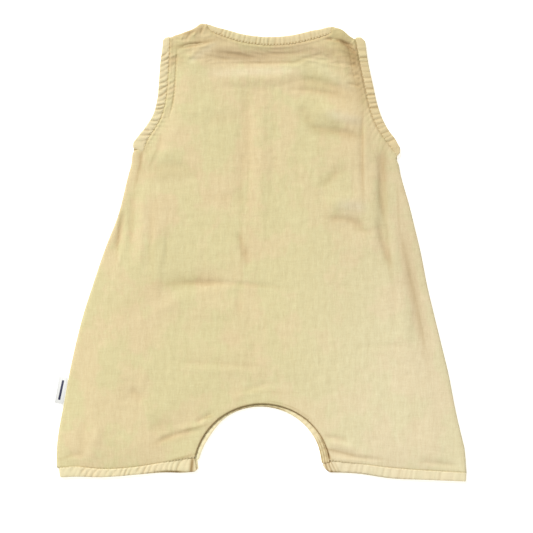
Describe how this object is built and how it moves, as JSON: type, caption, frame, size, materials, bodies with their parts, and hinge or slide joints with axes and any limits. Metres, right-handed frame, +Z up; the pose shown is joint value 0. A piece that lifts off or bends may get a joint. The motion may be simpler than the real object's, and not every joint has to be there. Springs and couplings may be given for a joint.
{
  "type": "baby romper",
  "caption": "Sleeveless A-line baby romper in cotton double gauze with short legs, bound neck and armholes and a buttoned front placket, laid flat with its back up.",
  "frame": {"origin": "the middle of the bounding box, on the surface that the romper lies on", "axes": "+Z up out of the romper's back, +Y towards the neck, +X towards the wearer's right side"},
  "size_m": [0.379, 0.421, 0.0069],
  "materials": {
    "gauze": "matte crinkled cotton double gauze",
    "tape": "matte gathered cotton double gauze",
    "label": "smooth woven satin",
    "button": "satin resin"
  },
  "bodies": {
    "root": {"back_panel": "gauze", "front_panel": "gauze", "front_placket": "gauze", "neck_binding": "tape", "armhole_binding_left": "tape", "armhole_binding_right": "tape", "hem_band_left": "tape", "hem_band_right": "tape", "crotch_band_front": "tape", "crotch_facing_back": "tape", "side_label": "label", "button_1": "button", "button_2": "button", "button_3": "button", "button_4": "button"}
  },
  "joints": []
}
